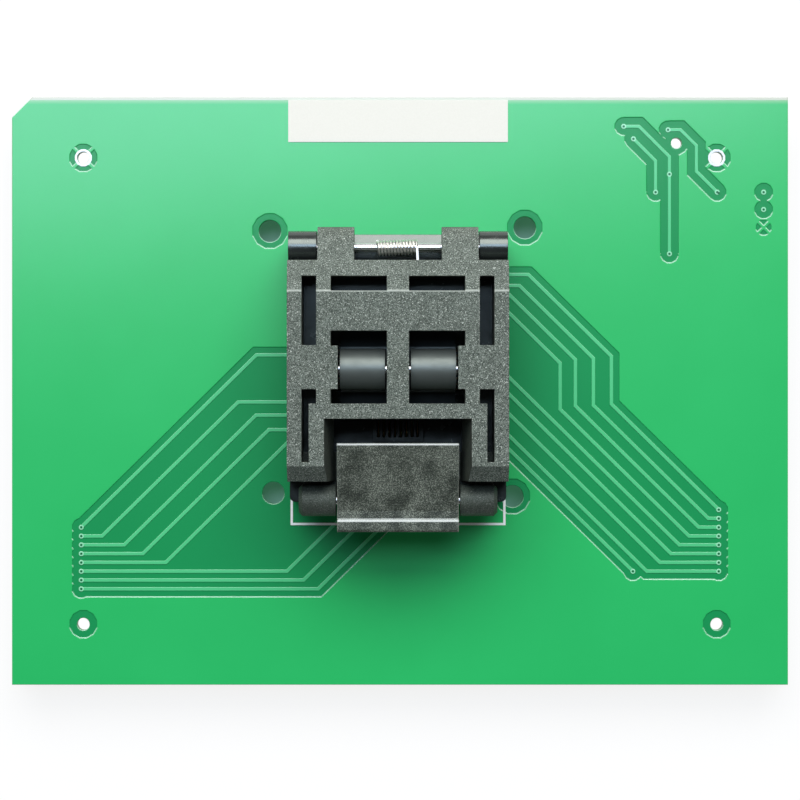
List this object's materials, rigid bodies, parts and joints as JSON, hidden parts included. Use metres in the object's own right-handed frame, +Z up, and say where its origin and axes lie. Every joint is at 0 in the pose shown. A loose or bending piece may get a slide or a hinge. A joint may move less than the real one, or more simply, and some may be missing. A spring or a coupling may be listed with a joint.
{
  "type": "ic programming adapter",
  "caption": "Flat circuit board with a hinged clamshell test socket for a flat square chip on top and two long board connectors under it.",
  "frame": {"origin": "middle of the board in plan, on the mating faces of the connectors under it", "axes": "+X to the right along the board's long side, +Y towards the socket's hinge, +Z up out of the board"},
  "size_m": [0.112, 0.0848, 0.0255],
  "materials": {
    "board_mask": "gloss solder mask on glass epoxy",
    "track_mask": "gloss solder mask over copper",
    "tinned_pad": "tinned",
    "label": "matt paper",
    "white_ink": "printed",
    "connector_plastic": "matt moulded",
    "socket_plastic": "matt moulded, glass filled",
    "smooth_plastic": "smooth moulded",
    "latch_plastic": "matt moulded, edges polished by use",
    "contact_metal": "gold plated",
    "lead_metal": "tinned",
    "solder": "bright solder",
    "pin_steel": "ground",
    "spring_steel": "drawn wire"
  },
  "bodies": {
    "board_group": {"circuit_board": "board_mask", "left_tracks": "track_mask", "right_tracks": "track_mask", "corner_tracks": "track_mask", "edge_vias": "track_mask", "hole_rings": "tinned_pad", "blank_label": "label", "outline_print": "white_ink", "left_connector": "connector_plastic", "right_connector": "connector_plastic", "left_connector_leads": "lead_metal", "right_connector_leads": "lead_metal", "socket_base": "smooth_plastic", "front_contacts": "contact_metal", "right_contacts": "contact_metal", "rear_contacts": "contact_metal", "left_contacts": "contact_metal", "solder_joints": "solder", "hinge_shaft": "pin_steel", "hinge_spring": "spring_steel"},
    "lid_group": {"lid": "socket_plastic", "pusher_pin": "pin_steel", "latch_pin": "pin_steel", "latch_spring": "spring_steel"},
    "pusher_group": {"pusher": "smooth_plastic"},
    "latch_group": {"latch": "latch_plastic"}
  },
  "joints": [
    {"name": "lid_hinge", "type": "hinge", "parent": "board_group", "child": "lid_group", "pos_m": [-0.00028, 0.02, 0.0205], "axis": [-1, 0, 0], "range_deg": [0, 95]},
    {"name": "latch_pivot", "type": "hinge", "parent": "lid_group", "child": "latch_group", "pos_m": [-0.00028, -0.01535, 0.0185], "axis": [-1, 0, 0], "range_deg": [0, 20], "stiffness_Nm_per_rad": 0.02, "springref_deg": -17.19, "deforming": ["latch_spring"]},
    {"name": "pusher_pivot", "type": "hinge", "parent": "lid_group", "child": "pusher_group", "pos_m": [-0.00028, 0.003, 0.0213], "axis": [1, 0, 0], "range_deg": [-3, 3]}
  ]
}
